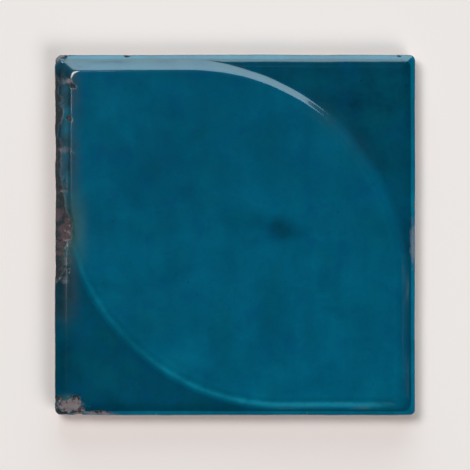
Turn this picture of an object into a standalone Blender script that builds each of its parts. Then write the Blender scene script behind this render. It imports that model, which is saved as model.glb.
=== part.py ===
"""Zellige-style relief tile: one pressed and glazed ceramic piece.

A square slab carries a raised pad with two square corners and two corners swept off in large arcs.
The pad's flanks slope down to a narrow ledge along the tile's edges and to two low, flat spandrels.
The back has a grid of stopped keying grooves for the adhesive.

Units are metres, +Z is up, and the origin is the centre of the back face, on which the tile lies.
"""

import math

import bmesh
import bpy
from mathutils import Vector

# Slab: the square body below the pad
TILE_SIDE = 0.100
SLAB_THICKNESS = 0.008
ARRIS_RADIUS = 0.0012
ARRIS_SEGMENTS = 4
CORNER_RADIUS = 0.0016
CORNER_SEGMENTS = 4
BACK_CHAMFER = 0.0005

# Pad: the raised field, measured from the slab's edge inwards and from the slab's top upwards
RELIEF_HEIGHT = 0.002
LEDGE_WIDTH = 0.0016
FLANK_WIDTH = 0.0032
FLANK_STEPS = 8
FOOT_ARC_RADIUS = 0.0616
ARC_SEGMENTS = 36
PAD_ROOT = 0.001

# Back: grooves that cross each other and stop short of the tile's edges, so many each way
GROOVES_EACH_WAY = 4
GROOVE_PITCH = 0.018
GROOVE_WIDTH = 0.005
GROOVE_DEPTH = 0.0008
GROOVE_LENGTH = 0.084
GROOVE_END_RADIUS = 0.0024
GROOVE_END_SEGMENTS = 6
GROOVE_OVERCUT = 0.002

# Finish of the plain model
GLAZE_COLOUR = (0.004, 0.075, 0.13, 1.0)
GLAZE_ROUGHNESS = 0.15


def clear_scene():
    for old in list(bpy.data.objects):
        bpy.data.objects.remove(old, do_unlink=True)


def new_collection(name):
    collection = bpy.data.collections.new(name)
    bpy.context.scene.collection.children.link(collection)
    return collection


def object_from(bm, name, collection):
    bmesh.ops.recalc_face_normals(bm, faces=bm.faces)
    mesh = bpy.data.meshes.new(name)
    bm.to_mesh(mesh)
    bm.free()
    obj = bpy.data.objects.new(name, mesh)
    collection.objects.link(obj)
    return obj


def make_helper(obj):
    """A cutter or a joined shape is left out of the finished object."""
    obj.hide_render = True
    obj.display_type = "WIRE"
    return obj


def add_boolean(obj, other, operation):
    modifier = obj.modifiers.new(f"{operation.lower()}_{other.name}", "BOOLEAN")
    modifier.operation = operation
    modifier.object = other
    modifier.solver = "EXACT"


def block(bm, size, centre):
    """A box of the given size, with its edges free to be rounded."""
    made = bmesh.ops.create_cube(bm, size=1.0)
    bmesh.ops.scale(bm, vec=size, verts=made["verts"])
    bmesh.ops.translate(bm, vec=centre, verts=made["verts"])
    return made["verts"]


def upright_edges(bm):
    return [e for e in bm.edges if abs(e.verts[0].co.z - e.verts[1].co.z) > 1e-6]


def edges_at_height(bm, height):
    return [e for e in bm.edges if all(abs(v.co.z - height) < 1e-6 for v in e.verts)]


def round_edges(bm, edges, offset, segments):
    bmesh.ops.bevel(
        bm,
        geom=edges,
        offset=offset,
        segments=segments,
        profile=0.5,
        affect="EDGES",
        material=-1,
    )


def build_slab(collection):
    bm = bmesh.new()
    block(bm, (TILE_SIDE, TILE_SIDE, SLAB_THICKNESS), (0, 0, SLAB_THICKNESS / 2))
    round_edges(bm, upright_edges(bm), CORNER_RADIUS, CORNER_SEGMENTS)
    round_edges(bm, edges_at_height(bm, SLAB_THICKNESS), ARRIS_RADIUS, ARRIS_SEGMENTS)
    round_edges(bm, edges_at_height(bm, 0.0), BACK_CHAMFER, 1)
    return object_from(bm, "tile", collection)


def pad_outline():
    """The foot of the pad, anticlockwise: a square corner, an arc, a square corner and an arc."""
    half = TILE_SIDE / 2 - LEDGE_WIDTH
    arc_centre = half - FOOT_ARC_RADIUS
    quarter = [math.pi / 2 * i / ARC_SEGMENTS for i in range(ARC_SEGMENTS + 1)]
    arc = [
        (
            arc_centre + FOOT_ARC_RADIUS * math.cos(angle),
            arc_centre + FOOT_ARC_RADIUS * math.sin(angle),
        )
        for angle in quarter
    ]
    opposite_arc = [(-x, -y) for x, y in arc]
    return [(half, -half), *arc, (-half, half), *opposite_arc]


def flank_height(share):
    """The flank's rise at a share of its width: a cove at the foot and a round at the crown."""
    return RELIEF_HEIGHT * share * share * (3 - 2 * share)


def build_pad(collection):
    """The pad starts below the slab's top, so that the two overlap where they are joined."""
    bm = bmesh.new()
    root = SLAB_THICKNESS - PAD_ROOT
    base = bm.faces.new([bm.verts.new((x, y, root)) for x, y in pad_outline()])
    raised = bmesh.ops.extrude_face_region(bm, geom=[base], use_keep_orig=True)
    top_verts = [v for v in raised["geom"] if isinstance(v, bmesh.types.BMVert)]
    bmesh.ops.translate(bm, vec=Vector((0, 0, PAD_ROOT)), verts=top_verts)
    bmesh.ops.recalc_face_normals(bm, faces=bm.faces)
    bm.normal_update()
    top = max(bm.faces, key=lambda face: face.calc_center_median().z)
    for step in range(FLANK_STEPS):
        rise = flank_height((step + 1) / FLANK_STEPS) - flank_height(step / FLANK_STEPS)
        bmesh.ops.inset_region(
            bm,
            faces=[top],
            thickness=FLANK_WIDTH / FLANK_STEPS,
            depth=rise,
            use_even_offset=True,
            use_boundary=True,
        )
    return make_helper(object_from(bm, "pad", collection))


def build_groove_cutter(collection, direction, index):
    bm = bmesh.new()
    offset = (index - (GROOVES_EACH_WAY - 1) / 2) * GROOVE_PITCH
    height = GROOVE_DEPTH + GROOVE_OVERCUT
    centre_z = GROOVE_DEPTH - height / 2
    if direction == "along_x":
        block(bm, (GROOVE_LENGTH, GROOVE_WIDTH, height), (0, offset, centre_z))
    else:
        block(bm, (GROOVE_WIDTH, GROOVE_LENGTH, height), (offset, 0, centre_z))
    round_edges(bm, upright_edges(bm), GROOVE_END_RADIUS, GROOVE_END_SEGMENTS)
    return make_helper(object_from(bm, f"groove_{direction}_{index + 1}", collection))


def glaze_material():
    material = bpy.data.materials.new("teal_glaze")
    material.use_nodes = True
    shader = material.node_tree.nodes["Principled BSDF"]
    shader.inputs["Base Color"].default_value = GLAZE_COLOUR
    shader.inputs["Roughness"].default_value = GLAZE_ROUGHNESS
    shader.inputs["Metallic"].default_value = 0.0
    return material


def main():
    clear_scene()
    tile_collection = new_collection("zellige_style_tile")
    helpers = new_collection("cutters")
    tile = build_slab(tile_collection)
    add_boolean(tile, build_pad(helpers), "UNION")
    for direction in ("along_x", "along_y"):
        for index in range(GROOVES_EACH_WAY):
            cutter = build_groove_cutter(helpers, direction, index)
            add_boolean(tile, cutter, "DIFFERENCE")
    tile.data.materials.append(glaze_material())


main()
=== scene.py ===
import math

import bmesh
import bpy
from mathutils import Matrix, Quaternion, Vector, noise


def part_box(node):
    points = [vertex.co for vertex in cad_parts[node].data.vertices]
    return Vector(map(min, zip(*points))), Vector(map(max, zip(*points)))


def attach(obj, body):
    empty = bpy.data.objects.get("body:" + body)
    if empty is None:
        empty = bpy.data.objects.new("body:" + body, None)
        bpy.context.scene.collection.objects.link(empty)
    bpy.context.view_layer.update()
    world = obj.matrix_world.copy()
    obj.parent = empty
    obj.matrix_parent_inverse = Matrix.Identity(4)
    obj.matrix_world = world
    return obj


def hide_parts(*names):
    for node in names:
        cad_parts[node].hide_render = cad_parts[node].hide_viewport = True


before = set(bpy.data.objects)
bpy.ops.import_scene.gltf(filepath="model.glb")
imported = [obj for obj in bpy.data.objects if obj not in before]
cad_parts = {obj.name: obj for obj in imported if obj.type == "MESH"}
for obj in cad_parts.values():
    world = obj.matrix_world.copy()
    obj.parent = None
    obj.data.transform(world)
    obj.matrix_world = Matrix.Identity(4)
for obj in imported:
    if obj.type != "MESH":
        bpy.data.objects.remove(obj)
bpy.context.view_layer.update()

# The tile is one piece of red clay, pressed with a raised pad, then dipped in teal glaze and fired.
# Two of the pad's corners are square, and two are swept off in large arcs over low spandrels.
# Its skin is worked in rings, in millimetres: they climb the sides and close in over the face.
MM = 0.001
HALF_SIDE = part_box("tile")[1].x / MM
FACE_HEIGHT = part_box("tile")[1].z / MM
RELIEF = 2.0
SLAB_TOP = FACE_HEIGHT - RELIEF
LEDGE = 1.3
FLANK = 3.5
COVE_SHARE = 0.34
CREST_SHARE = 0.34
ARC_CENTRE = -13.2
RIM_WIDTH = 1.2
RIM_REACH = 3.5
RIM_DROP = 1.5
LIP_RADIUS = 0.8
LIP_TURN = math.radians(52)
BACK_CHAMFER = 0.5
SLAB_CORNER = 1.6
PAD_CORNER = 2.5
EDGE_WANDER = 0.12
EDGE_WANDER_FINE = 0.03
PAD_INSET = 0.12
PAD_DRIFT = 0.14
PAD_DRIFT_FINE = 0.04
FLANK_RIPPLE = 0.045
FLANK_RIPPLE_FINE = 0.012
FACE_SINK = 0.09
FACE_SINK_FINE = 0.025

SIDE_POINTS = 62
ARC_POINTS = 178
SIDE_RINGS = 11
LIP_RINGS = 4
RIM_RINGS = 8
LEDGE_RINGS = 30
FLANK_RINGS = 16
PAD_RINGS = 60


def drawn_in(share, spacing):
    """A share from -1 to 1 drawn in towards 0, where its spacing is that much of the even one."""
    return share * (spacing + (1 - spacing) * share * share)


half_round = [("right", 1 - drawn_in(i / SIDE_POINTS, 0.6)) for i in range(SIDE_POINTS)]
for i in range(ARC_POINTS + 1):
    half_round.append(("arc", math.pi / 4 * (1 + drawn_in(2 * i / ARC_POINTS - 1, 0.5))))
for i in range(1, SIDE_POINTS):
    half_round.append(("top", 1 - drawn_in(1 - i / SIDE_POINTS, 0.6)))
stations = [(1, *place) for place in half_round] + [(-1, *place) for place in half_round]


def on_outline(station, reach, squareness):
    """The point of a station on the pad's outline, on the slab's square outline, or between them."""
    turn, stretch, along = station
    if stretch == "arc":
        swept = reach - ARC_CENTRE
        square = swept / max(math.cos(along), math.sin(along))
        out = swept + (square - swept) * squareness
        x = ARC_CENTRE + out * math.cos(along)
        y = ARC_CENTRE + out * math.sin(along)
    else:
        sideways = ARC_CENTRE - (reach + ARC_CENTRE) * along
        x, y = (reach, sideways) if stretch == "right" else (sideways, reach)
    return turn * x, turn * y


def corner_rounded(x, y, reach, radius):
    """Near a square corner, the point drawn in on to the corner's round."""
    flat = reach - radius
    past_x, past_y = abs(x) - flat, abs(y) - flat
    if past_x <= 0 or past_y <= 0:
        return x, y
    drawn = max(past_x, past_y) / math.hypot(past_x, past_y)
    return math.copysign(flat + past_x * drawn, x), math.copysign(flat + past_y * drawn, y)


def eased(share):
    share = min(1.0, max(0.0, share))
    return share * share * (3 - 2 * share)


def hump(distance, width):
    """1 at no distance, falling off smoothly to 0 at the width."""
    return 1 - eased(abs(distance) / width)


def sway(x, y, size, layer):
    """Slow hand-made unevenness from -1 to 1 over the face, with waves of about that size."""
    return noise.noise(Vector((x / size, y / size, layer)))


def rolled_off(from_edge):
    """How far the face falls away near the slab's edge, as the glaze and the press left it."""
    return RIM_DROP * max(0.0, 1 - from_edge / RIM_REACH) ** 1.5


def risen(share, cove, crest):
    """The flank's rise at a share of its width: a cove, a straight slope and a round crest."""
    steepness = 1 / (1 - cove / 2 - crest / 2)
    if share < cove:
        return steepness * share * share / cove / 2
    if share > 1 - crest:
        return 1 - steepness * (1 - share) * (1 - share) / crest / 2
    return steepness * (share - cove / 2)


# Each ring is a stretch of the profile, how far along it, its inset, height and squareness.
LIP_INSET = LIP_RADIUS * (1 - math.cos(LIP_TURN))
LIP_RISE = LIP_RADIUS * math.sin(LIP_TURN)
SIDE_TOP = SLAB_TOP - rolled_off(LIP_INSET) - LIP_RISE
profile = [("foot", 0.0, BACK_CHAMFER, 0.0, 1.0), ("foot", 0.5, 0.15, 0.15, 1.0)]
for i in range(SIDE_RINGS + 1):
    share = i / SIDE_RINGS
    profile.append(("side", share, 0.0, BACK_CHAMFER + (SIDE_TOP - BACK_CHAMFER) * share, 1.0))
for i in range(1, LIP_RINGS + 1):
    turn = LIP_TURN * i / LIP_RINGS
    inset = LIP_RADIUS * (1 - math.cos(turn))
    profile.append(("lip", i / LIP_RINGS, inset, SIDE_TOP + LIP_RADIUS * math.sin(turn), 1.0))
for i in range(1, RIM_RINGS + 1):
    share = i / RIM_RINGS
    profile.append(("rim", share, LIP_INSET + (RIM_WIDTH - LIP_INSET) * share, SLAB_TOP, 1.0))
for i in range(1, LEDGE_RINGS + 1):
    share = (i / LEDGE_RINGS) ** 1.5
    profile.append(("ledge", share, RIM_WIDTH + (LEDGE - RIM_WIDTH) * share, SLAB_TOP, 1.0 - share))
for i in range(1, FLANK_RINGS + 1):
    share = i / FLANK_RINGS
    profile.append(("flank", share, LEDGE + FLANK * share, FACE_HEIGHT, 0.0))
for i in range(1, PAD_RINGS):
    profile.append(("pad", i / PAD_RINGS, LEDGE + FLANK, FACE_HEIGHT, 0.0))


def from_slab_edge(x, y):
    """How far inside the slab's outline a point lies, with the outline's corners rounded."""
    past_x = abs(x) - HALF_SIDE + SLAB_CORNER
    past_y = abs(y) - HALF_SIDE + SLAB_CORNER
    if past_x > 0 and past_y > 0:
        return SLAB_CORNER - math.hypot(past_x, past_y)
    return SLAB_CORNER - max(past_x, past_y)


def settled(station, reach, squareness, on_pad):
    """Where a point lies seen from above, and how far the slab's edge wandered in beside it."""
    x, y = on_outline(station, reach, squareness)
    wander = EDGE_WANDER * (1 + sway(x, y, 15, 3.1)) + EDGE_WANDER_FINE * (1 + sway(x, y, 3.2, 8.7))
    drift = PAD_DRIFT * sway(x, y, 19, 5.3) + PAD_DRIFT_FINE * sway(x, y, 6, 1.9)
    reach -= wander * (1 - on_pad) + (PAD_INSET + drift) * on_pad
    x, y = on_outline(station, reach, squareness)
    x, y = corner_rounded(x, y, reach, SLAB_CORNER + (PAD_CORNER - SLAB_CORNER) * on_pad)
    return x, y, wander


def place_point(station, ring):
    """Where a station of a ring lies: the plain shape, with a hand-made tile's wander."""
    stretch, share, inset, height, squareness = ring
    on_pad = {"rim": share, "ledge": 1.0, "flank": 1.0, "pad": 1.0}.get(stretch, 0.0)
    x, y, wander = settled(station, HALF_SIDE - inset, squareness, on_pad)
    if stretch == "pad":
        x, y = x * (1 - share), y * (1 - share)
    if stretch in ("foot", "side"):
        return x, y, height
    if stretch in ("rim", "ledge"):
        height -= rolled_off(from_slab_edge(x, y) - wander)
    if stretch == "flank":
        foot_x, foot_y, wander = settled(station, HALF_SIDE - LEDGE, 0.0, on_pad)
        foot_drop = rolled_off(from_slab_edge(foot_x, foot_y) - wander)
        foot_height = SLAB_TOP - foot_drop
        cove = max(0.04, COVE_SHARE - 0.38 * foot_drop)
        rise = risen(share, cove, CREST_SHARE - 0.12 * foot_drop)
        ripple = FLANK_RIPPLE * sway(x, y, 6.5, 12.9) + FLANK_RIPPLE_FINE * sway(x, y, 2.6, 14.1)
        height = foot_height + (FACE_HEIGHT - foot_height) * rise + ripple * hump(share - 0.5, 0.5)
    sink = FACE_SINK * (1 + sway(x, y, 27, 0.4)) + FACE_SINK_FINE * (1 + sway(x, y, 9, 6.2))
    return x, y, height - sink * (share if stretch == "lip" else 1.0)


skin = bmesh.new()
station_of = skin.verts.layers.int.new("station")
ring_of = skin.verts.layers.int.new("ring")
points = []
for number, station in enumerate(stations):
    point = skin.verts.new(place_point(station, profile[0]))
    point[station_of] = number
    points.append(point)
course = [skin.edges.new((points[i - 1], points[i])) for i in range(len(points))]
foot_edges = list(course)
for number, ring in enumerate(profile[1:], start=1):
    raised = bmesh.ops.extrude_edge_only(skin, edges=course)["geom"]
    fresh = [part for part in raised if isinstance(part, bmesh.types.BMVert)]
    for point in fresh:
        point[ring_of] = number
        point.co = place_point(stations[point[station_of]], ring)
    edges = [part for part in raised if isinstance(part, bmesh.types.BMEdge)]
    course = [edge for edge in edges if all(end[ring_of] == number for end in edge.verts)]
middle = sum((point.co for point in fresh), Vector()) / len(fresh)
bmesh.ops.pointmerge(skin, verts=fresh, merge_co=middle)

# What the fire and the years left: where the clay shows bare, and where the glaze ran thin or pooled.
# Some of it is painted light: paler flanks away from the lights, pale rims on the right and bottom that
# stand for highlights, and a dark edge beside the upper highlight.
# The left edge lost its glaze over two thirds of its length, and the lower left corner is chipped.
BARE_EDGE_TOP = 47.0
BARE_EDGE_FOOT = -17.0
BARE_EDGE_WIDTH = 1.5
BARE_EDGE_SWELL = 2.3
CHIP_MIDDLE = (-45.2, -46.9)
CHIP_REACH = (4.6, 2.3)
CHIP_DEPTH = 0.75
CLEAN_CLAY_TOP = 5.6
GLAZE_END_HEIGHT = 2.6
# Each blot has its middle, its half length and height, and how much more glaze it holds.
BLOTS = (
    (13.4, 0.9, 8.6, 5.0, 0.22),
    (13.0, 0.6, 4.6, 3.2, 0.10),
    (6.6, 3.6, 5.4, 3.8, 0.13),
    (-30.0, -8.0, 13.0, 13.0, -0.07),
    (-14.0, -33.0, 13.0, 9.0, -0.13),
    (-22.0, 18.0, 16.0, 16.0, 0.12),
    (8.0, 24.0, 18.0, 18.0, 0.02),
    (34.0, -12.0, 16.0, 16.0, -0.08),
    (24.0, -32.0, 15.0, 15.0, -0.06),
)
# Each fleck and the rusty stretch has its middle along the left edge and its reach from there.
PALE_FLECKS = ((42.5, 2.5), (23.5, 3.2), (12.0, 1.6), (-12.5, 3.2))
RUSTY_STRETCH = (1.5, 15.0)


def pale_fleck(y):
    return max(hump(y - middle, reach) for middle, reach in PALE_FLECKS)


def from_each_edge(x, y):
    return x + HALF_SIDE, HALF_SIDE - x, y + HALF_SIDE, HALF_SIDE - y


def corner_chip(x, y):
    """1 in the middle of the chip at the lower left corner, and 0 at its broken lip."""
    ragged = 0.60 * sway(x, y, 2.9, 31.5) + 0.55 * sway(x, y, 1.3, 32.7)
    from_middle = (x - CHIP_MIDDLE[0]) / CHIP_REACH[0], (y - CHIP_MIDDLE[1]) / CHIP_REACH[1]
    return 1 - math.hypot(*from_middle) + ragged


def bare_clay_and_rim_highlights(x, y, z, stretch):
    """How surely the clay is bare there: half is the glaze's broken edge. On the right rim and the
    bottom rim's left part, the bare pale clay also stands for painted highlights.
    """
    left_gap, right_gap, bottom_gap, top_gap = from_each_edge(x, y)
    below = max(0.0, SLAB_TOP - RIM_DROP - z)
    x, y = x * (1 + below / HALF_SIDE), y + 0.35 * below
    ragged = 1.1 * sway(x, y, 4.6, 2.2) + 1.0 * sway(x, y, 1.9, 7.4) + 0.5 * sway(x, y, 0.9, 4.4)
    patchy = 1 + 1.3 * sway(x * 0.3, y, 7.5, 9.9)
    along = eased((BARE_EDGE_TOP - y) / 4) * eased((y - BARE_EDGE_FOOT) / (7 + 2 * below))
    width = BARE_EDGE_WIDTH + BARE_EDGE_SWELL * hump(y + 1, 17)
    left = (width * patchy - left_gap) / 1.5 - 0.30 * below - 3 * (1 - along)
    islands = sway(x, y, 2.1, 51.7) - 0.40 + 0.16 * pale_fleck(y)
    broken_crest = islands * 6 - abs(left_gap - 4.4) / 0.9 - 3 * (1 - along)
    top_corner = 1.1 - math.hypot(left_gap, top_gap) / 2.2
    # The bare, pale strip on the bottom rim's left part is a painted highlight line. The one on the
    # right rim is worn clay, painted pale as a highlight too.
    bottom_rim = 0.5 - abs(bottom_gap - 0.9) / 0.7 - 2.5 * (1 - hump(x + 38, 14))
    right_rim = 0.2 - abs(right_gap - 0.8) / 0.6 - 2 * (1 - hump(y + 2, 13))
    nearest_edge = min(left_gap, right_gap, bottom_gap, top_gap)
    nicks = (sway(x, y, 2.6, 13.7) - 0.5) * 5 - nearest_edge / 0.8 - below
    deepest = max(left, broken_crest, top_corner, bottom_rim, right_rim) + 0.6 * ragged
    deepest = max(deepest, nicks, 2.2 * corner_chip(x, y))
    if stretch in ("foot", "side"):
        glaze_end = GLAZE_END_HEIGHT + 1.1 * sway(x, y, 14, 11.3) + 0.7 * sway(x, y, 4.5, 12.6)
        glaze_end += 1.3 * hump(x + HALF_SIDE, 6) * eased(along * 1.2 + 0.3)
        deepest = max(deepest, glaze_end - z)
    return min(1.0, max(0.0, 0.5 + 0.5 * deepest))


def glaze_depth_and_painted_light(x, y, stretch, share):
    """How thick the glaze lies there, from 0 to 1: thin over the pad's crest, pooled at its foot. The
    flanks away from the lights are painted paler as fill light, and a dark edge is painted beside the
    upper highlight.
    """
    depth = 0.50 + 0.0010 * y
    for blot_x, blot_y, half_length, half_height, more in BLOTS:
        away = math.hypot((x - blot_x) / half_length, (y - blot_y) / half_height)
        depth += more * hump(away * (1 + 0.7 * sway(x, y, 5.0, 33.1)), 1)
    if stretch in ("foot", "side"):
        return 0.55 + 0.3 * sway(x, y, 6, 15.5)
    lower_left = hump(x + HALF_SIDE - 1.5, 7) * eased((-14 - y) / 8)
    if stretch in ("lip", "rim"):
        broken = 0.20 - 0.36 * hump(x + HALF_SIDE, 5)
        return 0.46 - broken * hump(from_slab_edge(x, y) - 0.8, 1.4) + 0.24 * lower_left
    low = {"ledge": 1.0, "flank": 1 - eased(share * 1.4)}.get(stretch, 0.0)
    bottom_rim = hump(y + HALF_SIDE - 1.5, 5) * eased((6 - x) / 12)
    depth += low * (0.26 + 0.09 * max(lower_left, bottom_rim))
    # The flanks on the lower left face away from the lights and are painted paler here as fill light.
    # Only the small even thinning over every crest is the glaze's own.
    away_flanks_painted_fill = eased(-(x + y) / 12 + 0.2)
    if stretch == "flank":
        thin_crest_and_painted_fill = 0.03 + away_flanks_painted_fill * (0.38 + 0.10 * eased((x + 35) / 50))
        depth -= thin_crest_and_painted_fill * hump(share - 0.45, 0.6)
    if stretch == "pad":
        # Just inside the crest the glaze is a little paler, but along the upper side a darker edge is
        # painted beside the highlight there.
        depth += (0.10 * eased((y - 38) / 6) - 0.05) * hump(share, 0.06)
    return depth


def scorched(x, y, stretch, share):
    """How far the thin glaze burnt brown there, along the crests and the rim."""
    patchy = 0.6 + 0.7 * sway(x, y, 9, 17.1) + 0.4 * sway(x, y, 3, 18.8)
    left = (1 - eased((x + HALF_SIDE - 3.4) / 5.6)) * eased((50 - y) / 5) * eased((y + 30) / 12)
    out = math.hypot(x - ARC_CENTRE, y - ARC_CENTRE)
    bearing = math.degrees(math.atan2(y - ARC_CENTRE, x - ARC_CENTRE))
    crest = 0.42 * hump(bearing - 44, 17) * hump(out - 60.2, 4.5)
    if stretch in ("lip", "rim"):
        crest = 0.06
    return max(0.0, min(1.0, patchy + 0.3 * left)) * max(crest, 0.8 * left)


def paled(x, y):
    """How far the bare clay there is rubbed pale, at the corners and in flecks. On the right rim it is
    worn and also painted pale as a highlight, and the pale line on the bottom rim's left part is a
    painted highlight.
    """
    left_gap, right_gap, bottom_gap, top_gap = from_each_edge(x, y)
    corner = hump(math.hypot(left_gap, top_gap), 5)
    chip = hump(math.hypot((x + 45.5) / 7, (y + 47) / 4), 1)
    # The right rim's pale streak is wear and a painted highlight. The bottom one is a painted
    # highlight.
    right = hump(right_gap - 0.7, 2.2) * hump(y + 2, 15)
    bottom_rim_highlight = hump(bottom_gap, 2) * hump(x + 38, 16)
    lower = 0.6 * hump(y + 3, 16) * hump(left_gap - 4.2, 3.5)
    return max(corner, chip, right, bottom_rim_highlight, lower, 0.8 * pale_fleck(y) * hump(left_gap - 3, 4))


bare_at = skin.verts.layers.float.new("bare")
depth_and_painted_light_at = skin.verts.layers.float.new("depth")
scorch_at = skin.verts.layers.float.new("scorch")
pale_at = skin.verts.layers.float.new("pale")
rust_at = skin.verts.layers.float.new("rust")
fresh_at = skin.verts.layers.float.new("fresh")
for point in skin.verts:
    stretch, share = profile[point[ring_of]][:2]
    x, y, z = point.co
    bare = bare_clay_and_rim_highlights(x, y, z, stretch)
    point[bare_at] = bare
    point[depth_and_painted_light_at] = glaze_depth_and_painted_light(x, y, stretch, share)
    point[scorch_at] = scorched(x, y, stretch, share)
    point[pale_at] = paled(x, y)
    rusty_edge = hump(y - RUSTY_STRETCH[0], RUSTY_STRETCH[1]) * hump(x + HALF_SIDE - 3, 8)
    point[rust_at] = max(rusty_edge, 0.8 * hump(math.hypot((x + 46.5) / 4, (y + 46) / 3), 1))
    point[fresh_at] = eased((CLEAN_CLAY_TOP - z) / 1.6)
    lost = eased((bare - 0.40) / 0.22)
    crumbled = 0.20 + 0.16 * sway(x, y, 1.5, 21.2) + 0.10 * sway(x, y, 0.7, 22.9)
    crumbled *= 1 - 0.75 * hump(x + HALF_SIDE - 4.7, 1.8)
    crumbled *= {"foot": 0.0, "side": 0.0, "lip": share}.get(stretch, 1.0)
    chip = max(0.0, corner_chip(x, y)) * eased((z - 4) / 3)
    inward = lost * (0.10 + 0.10 * (1 + sway(x, y, 1.8, 23.3))) + 0.5 * chip
    narrowed = 1 - inward * hump(HALF_SIDE - max(abs(x), abs(y)), 3) / HALF_SIDE
    point.co = x * narrowed, y * narrowed, z - lost * crumbled - CHIP_DEPTH * chip ** 0.6

# The back is bare and a little hollow, with keying grooves that stop short of the edges.
# It is cut across where a groove's side or its rounded end begins, and here and there between.
GROOVE_PLACES = (-27, -9, 9, 27)
GROOVE_HALF_WIDTH = 2.5
GROOVE_REACH = 42
GROOVE_END_RADIUS = 2.4
GROOVE_STEPS = ((0.12, 0.0), (0.10, 0.06), (0.14, 0.30), (0.14, 0.30), (0.20, 0.08), (0.25, 0.03))
BACK_SPACING = 3.0
BACK_HOLLOW = 0.12

back = bmesh.ops.contextual_create(skin, geom=foot_edges)["faces"]
bmesh.ops.recalc_face_normals(skin, faces=skin.faces)


def cut_back(faces, across):
    """Cuts the back's faces along a line: across holds the line's distance out along X or Y."""
    parts = dict.fromkeys(part for face in faces for part in (face, *face.edges, *face.verts))
    cut = bmesh.ops.bisect_plane(skin, geom=list(parts), plane_co=across, plane_no=across, dist=1e-4)
    return [part for part in cut["geom"] if isinstance(part, bmesh.types.BMFace)]


cuts = set()
for i in range(4):
    bend = GROOVE_END_RADIUS * math.tan(math.radians(15 * i))
    from_middle = GROOVE_HALF_WIDTH - GROOVE_END_RADIUS + bend
    ends = GROOVE_REACH - GROOVE_END_RADIUS + bend
    cuts |= {-ends, ends}
    for middle in GROOVE_PLACES:
        cuts |= {middle - from_middle, middle + from_middle}
between = [BACK_SPACING * i - 46.5 for i in range(32)]
cuts |= {offset for offset in between if min(abs(offset - cut) for cut in cuts) > 0.7}
for offset in sorted(cuts):
    back = cut_back(back, Vector((offset, 0, 0)))
    back = cut_back(back, Vector((0, offset, 0)))


def in_groove(x, y):
    for across, lengthways in ((x, y), (y, x)):
        nearest = min(abs(across - middle) for middle in GROOVE_PLACES)
        if nearest < GROOVE_HALF_WIDTH + 1e-3 and abs(lengthways) < GROOVE_REACH + 1e-3:
            return True
    return False


def end_rounded(across, lengthways):
    """Near a groove's end, the point drawn in on to the end's round."""
    nearest = min(GROOVE_PLACES, key=lambda middle: abs(across - middle))
    past_side = abs(across - nearest) - GROOVE_HALF_WIDTH + GROOVE_END_RADIUS
    past_end = abs(lengthways) - GROOVE_REACH + GROOVE_END_RADIUS
    if past_side <= 0 or past_end <= 0:
        return across, lengthways
    drawn = 1 - max(past_side, past_end) / math.hypot(past_side, past_end)
    across -= math.copysign(past_side * drawn, across - nearest)
    return across, lengthways - math.copysign(past_end * drawn, lengthways)


grooved = [face for face in back if in_groove(*face.calc_center_median().xy)]
for narrowing, deepening in GROOVE_STEPS:
    bmesh.ops.inset_region(
        skin, faces=grooved, thickness=narrowing, depth=-deepening, use_even_offset=True)
skin.normal_update()
for point in {point for face in skin.faces if face.normal.z < -0.3 for point in face.verts}:
    x, y, z = point.co
    if from_slab_edge(x, y) < 1:
        continue
    if in_groove(x, y):
        if abs(y) > abs(x):
            x, y = end_rounded(x, y)
        else:
            y, x = end_rounded(y, x)
    hollow = BACK_HOLLOW * (0.6 + 0.5 * sway(x, y, 14, 41.2) + 0.3 * sway(x, y, 5, 42.7))
    point.co = x, y, z + max(0.0, hollow) * eased(from_slab_edge(x, y) / 8)
    point[bare_at] = 1.0
    point[fresh_at] = 1.0

bmesh.ops.recalc_face_normals(skin, faces=skin.faces)
bmesh.ops.scale(skin, vec=(MM, MM, MM), verts=skin.verts)
skin.verts.layers.int.remove(station_of)
skin.verts.layers.int.remove(skin.verts.layers.int["ring"])


def standing(part):
    """A number of its own for each edge or face, from the points that it joins."""
    number = 0
    for index in sorted(point.index for point in part.verts)[:3]:
        number = number * len(skin.verts) + index
    return number


# The extrusions leave edges and faces in no fixed order, so every run puts them in the same one.
skin.verts.index_update()
skin.edges.sort(key=standing)
skin.faces.sort(key=standing)

tile_mesh = bpy.data.meshes.new("glazed_tile")
skin.to_mesh(tile_mesh)
skin.free()
tile_mesh.shade_smooth()
tile_mesh.set_sharp_from_angle(angle=math.radians(40))
tile = bpy.data.objects.new("glazed_tile", tile_mesh)
bpy.context.scene.collection.objects.link(tile)

# The finish is one glossy teal glaze over red clay, mottled and streaked where it ran and pooled.
# It is paler where it breaks thin over the crests, burnt brown beside bare clay, and rubbed in places.
# Painted light is in it too: paler flanks away from the lights as fill, pale rim streaks as highlights,
# and a dark edge beside the upper highlight.


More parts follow.
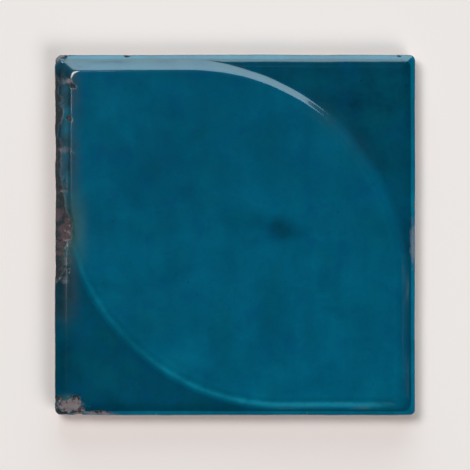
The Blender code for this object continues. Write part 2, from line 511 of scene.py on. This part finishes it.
class Reading:
    """A value that varies over a surface. Arithmetic on it adds Math nodes to its material."""

    def __init__(self, tree, socket=None):
        self.tree = tree
        self.socket = socket

    def node(self, kind, settings, sockets, output=0):
        """A new node of a kind: its settings are made first, then its sockets are set or linked."""
        made = self.tree.nodes.new(kind)
        for name, choice in settings.items():
            if name == "stops":
                lay_stops(made.color_ramp, choice)
            else:
                setattr(made, name, choice)
        for name, value in sockets.items():
            if isinstance(value, Reading):
                self.tree.links.new(value.socket, made.inputs[name])
            else:
                made.inputs[name].default_value = value
        return Reading(self.tree, made.outputs[output])

    def maths(self, operation, *terms):
        return self.node("ShaderNodeMath", {"operation": operation}, dict(enumerate(terms)))

    def __add__(self, other):
        return self.maths("ADD", self, other)

    def __radd__(self, other):
        return self.maths("ADD", other, self)

    def __sub__(self, other):
        return self.maths("SUBTRACT", self, other)

    def __rsub__(self, other):
        return self.maths("SUBTRACT", other, self)

    def __mul__(self, other):
        return self.maths("MULTIPLY", self, other)

    def __rmul__(self, other):
        return self.maths("MULTIPLY", other, self)

    def eased(self, low, high):
        """0 below low and 1 above high, with a smooth rise between."""
        settings = {"interpolation_type": "SMOOTHSTEP"}
        sockets = {"Value": self, "From Min": low, "From Max": high}
        return self.node("ShaderNodeMapRange", settings, sockets)

    def scaled(self, x, y, z):
        return self.node("ShaderNodeVectorMath", {"operation": "MULTIPLY"}, {0: self, 1: (x, y, z)})

    def stirred(self, size, reach):
        """This place pushed about, so that a pattern on it swirls as poured glaze does."""
        push = self.node("ShaderNodeTexNoise", {}, {"Vector": self, "Scale": 1 / size}, "Color")
        sockets = {0: push, 1: (reach, reach, reach), 2: self}
        return self.node("ShaderNodeVectorMath", {"operation": "MULTIPLY_ADD"}, sockets)

    def specks(self, spacing, size):
        """1 in round specks of that size, one in each patch of the spacing, and 0 between them."""
        distance = self.node("ShaderNodeTexVoronoi", {}, {"Vector": self, "Scale": 1 / spacing})
        return 1 - distance.eased(0.2 * size / spacing, 0.6 * size / spacing)

    def clouds(self, size, detail=2.0, roughness=0.5):
        """Noise from 0 to 1 in blotches of about that size, at this place on the surface."""
        sockets = {"Vector": self, "Scale": 1 / size, "Detail": detail, "Roughness": roughness}
        return self.node("ShaderNodeTexNoise", {}, sockets)

    def blend(self, first, second):
        """The first colour where this reading is 0, and the second where it is 1."""
        # A Mix node repeats its sockets' names for each kind of value, so its colour ones go by number.
        settings = {"data_type": "RGBA"}
        return self.node("ShaderNodeMix", settings, {0: self, 6: first, 7: second}, output=2)


def lay_stops(ramp, stops):
    while len(ramp.elements) < len(stops):
        ramp.elements.new(0.5)
    for element, (position, colour) in zip(ramp.elements, stops):
        element.position = position
        element.color = colour


def swatch(red, green, blue):
    """A colour as a paint chart gives it, from 0 to 255, turned into light."""
    shares = [level / 255 for level in (red, green, blue)]
    light = [((share + 0.055) / 1.055) ** 2.4 if share > 0.04 else share / 12.92 for share in shares]
    return (*light, 1.0)


glaze = bpy.data.materials.new("teal_glaze")
glaze.use_nodes = True
tree = glaze.node_tree
shader = tree.nodes["Principled BSDF"]
start = Reading(tree)
place = start.node("ShaderNodeTexCoord", {}, {}, "Object").scaled(1 / MM, 1 / MM, 1 / MM)


def worn(name):
    return start.node("ShaderNodeAttribute", {"attribute_name": name}, {}, "Fac")


grit = place.clouds(0.55, 3.0, 0.6)
bare = (worn("bare") + (grit - 0.5) * 0.5 + (place.clouds(2.2) - 0.5) * 0.35).eased(0.46, 0.54)

mottle = place.stirred(20, 18).clouds(12, 4.0, 0.55) - 0.5
streak = place.stirred(9, 3).scaled(1.0, 0.16, 1.0).clouds(3.2, 2.0) - 0.5
speckle = place.clouds(1.1, 2.0) - 0.5
iron = place.specks(3.1, 0.7) * place.clouds(9.0).eased(0.50, 0.66)
# The depth attribute carries painted light as well as the glaze's thickness: paler flanks away from the
# lights, and a dark edge beside the upper highlight.
depth = worn("depth") + mottle * 0.48 + streak * 0.12 + speckle * 0.10 + iron * 0.20
GLAZE_BREAK = swatch(12, 138, 168)
GLAZE_THIN = swatch(5, 113, 141)
GLAZE_FAIR = swatch(1, 93, 120)
GLAZE_FULL = swatch(0, 80, 107)
GLAZE_DEEP = swatch(0, 63, 84)
GLAZE_POOL = swatch(1, 44, 62)
GLAZE_BLUER = swatch(0, 67, 108)
GLAZE_GREENER = swatch(0, 87, 98)
GLAZE_OLIVE = swatch(62, 102, 98)
stops = [
    (0.0, GLAZE_BREAK),
    (0.14, GLAZE_THIN),
    (0.34, GLAZE_FAIR),
    (0.52, GLAZE_FULL),
    (0.80, GLAZE_DEEP),
    (1.0, GLAZE_POOL),
]
teal = depth.node("ShaderNodeValToRGB", {"stops": stops}, {0: depth})
bluer = place.stirred(17, 15).clouds(8, 3.0).eased(0.50, 0.72)
greener = place.stirred(26, 12).clouds(10, 3.0).eased(0.48, 0.72)
teal = (bluer * 0.30).blend(teal, GLAZE_BLUER)
teal = (greener * 0.25).blend(teal, GLAZE_GREENER)
teal = (worn("rust") * (0.5 + place.clouds(2.6, 3.0) * 0.8)).blend(teal, GLAZE_OLIVE)

BROWN_VEIL = swatch(42, 58, 60)
CHARRED = swatch(18, 42, 48)
CHALK_AND_RIM_HIGHLIGHT = swatch(122, 128, 142)
brown = worn("scorch") * (0.5 + place.clouds(1.6, 3.0, 0.6))
halo = (worn("bare") + (place.clouds(1.3, 3.0) - 0.5) * 0.5).eased(0.16, 0.46)
brown = brown.maths("MAXIMUM", brown, halo * 0.8).maths("MINIMUM", brown, 1.0)
burnt = brown.blend(teal, brown.eased(0.30, 0.85).blend(BROWN_VEIL, CHARRED))
# Chalky pale wear on the corners, the chip and the flecks. On the right and bottom rims, the same pale
# colour is a painted highlight.
chalk_and_rim_highlights = (worn("pale") + (place.clouds(1.8, 3.0, 0.6) - 0.5) * 0.9).eased(0.45, 0.95) * 0.5
burnt = chalk_and_rim_highlights.blend(burnt, CHALK_AND_RIM_HIGHLIGHT)

CLAY_DARK = swatch(16, 37, 43)
CLAY_RUST = swatch(74, 61, 66)
CLAY_PALE = swatch(126, 119, 122)
CLAY_FRESH = swatch(158, 110, 92)
CLAY_LIGHT = swatch(184, 142, 122)
rusty = (place.clouds(2.2, 4.0, 0.7) + worn("rust") * 0.19).eased(0.53, 0.72)
rubbed = place.clouds(1.2, 3.0, 0.7) * 0.8 + place.clouds(5.0) * 0.2 + worn("pale") * 0.34
flecks = rubbed.eased(0.62, 0.76)
dirty = (flecks * 0.85).blend(rusty.blend(CLAY_DARK, CLAY_RUST), CLAY_PALE)
grain = (place.clouds(8.0, 4.0, 0.6) * 0.6 + place.clouds(0.7, 3.0, 0.7) * 0.4).eased(0.36, 0.64)
fresh = (worn("fresh") + (grit - 0.5) * 0.8 + (rusty - 0.5) * 0.2).eased(0.35, 0.65)
clay = fresh.blend(dirty, grain.blend(CLAY_FRESH, CLAY_LIGHT))
colour = bare.blend(burnt, clay)

roughness = 0.07 + place.clouds(7.0, 3.0) * 0.06 + brown * 0.12 + bare * 0.45 + halo * 0.30
relief = (place.clouds(2.4, 2.0) - 0.5) * 0.006 + (place.clouds(7.0) - 0.5) * 0.03
relief = relief + bare * (grit - 0.5) * 0.30
bump = relief.node("ShaderNodeBump", {}, {"Height": relief, "Strength": 1.0, "Distance": MM})
tree.links.new(colour.socket, shader.inputs["Base Color"])
tree.links.new(roughness.socket, shader.inputs["Roughness"])
tree.links.new(bump.socket, shader.inputs["Normal"])
shader.inputs["IOR"].default_value = 1.65
tile_mesh.materials.append(glaze)

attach(tile, "root")
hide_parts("tile")

# The floor is a plain pale board, much larger than the tile that lies on it.
# It is one flat sheet, painted matt.
floor_skin = bmesh.new()
bmesh.ops.create_grid(floor_skin, x_segments=1, y_segments=1, size=3.0)
floor_mesh = bpy.data.meshes.new("floor")
floor_skin.to_mesh(floor_mesh)
floor_skin.free()
floor = bpy.data.objects.new("floor", floor_mesh)
bpy.context.scene.collection.objects.link(floor)
pale = bpy.data.materials.new("pale_board")
pale.use_nodes = True
pale.node_tree.nodes["Principled BSDF"].inputs["Base Color"].default_value = (0.82, 0.79, 0.77, 1)
pale.node_tree.nodes["Principled BSDF"].inputs["Roughness"].default_value = 0.9
floor_mesh.materials.append(pale)


# The studio: a broad cool softbox low beyond the tile's upper edge shines in the flanks that face it.
# A warmer key from high on the left and a fill from the right soften each other's shadows.
# The fill lightens the shade only: it isn't mirrored in the glaze.
def softbox(name, azimuth, zenith, roll, distance, width, height, watts, tint):
    """A flat soft light that faces the tile from a compass angle and an angle from overhead."""
    lamp = bpy.data.lights.new(name, "AREA")
    lamp.shape = "RECTANGLE"
    lamp.size = width
    lamp.size_y = height
    lamp.energy = watts
    lamp.color = tint
    around, down = math.radians(azimuth), math.radians(zenith)
    out = Vector((math.cos(around) * math.sin(down), math.sin(around) * math.sin(down), math.cos(down)))
    held = bpy.data.objects.new(name, lamp)
    held.location = out * distance
    facing = out.to_track_quat("Z", "Y") @ Quaternion((0, 0, 1), math.radians(roll))
    held.rotation_euler = facing.to_euler()
    bpy.context.scene.collection.objects.link(held)
    return held


COOL = (0.74, 1.0, 1.06)
WARM = (1.07, 1.0, 0.98)
softbox(
    "upper_softbox", azimuth=85, zenith=75, roll=36, distance=3.7, width=3.9, height=2.8,
    watts=110, tint=COOL)
softbox(
    "high_key", azimuth=135, zenith=26, roll=0, distance=3.9, width=1.55, height=1.55,
    watts=87, tint=WARM)
fill = softbox(
    "lower_fill", azimuth=315, zenith=42, roll=0, distance=3.6, width=2.1, height=2.1,
    watts=62, tint=WARM)
fill.visible_glossy = False

# The room is dim, so the glaze mirrors little but the lights.
world = bpy.data.worlds.new("dim_room")
world.use_nodes = True
world.node_tree.nodes["Background"].inputs["Color"].default_value = (0.006, 0.013, 0.017, 1)
bpy.context.scene.world = world

# The camera looks straight down through a long lens, and the tile fills most of its view.
camera_data = bpy.data.cameras.new("camera")
camera_data.lens = 300
camera_data.sensor_width = 36
camera = bpy.data.objects.new("camera", camera_data)
camera.location = (0, 0, 1.09)
bpy.context.scene.collection.objects.link(camera)
bpy.context.scene.camera = camera
bpy.context.scene.view_settings.view_transform = "Standard"
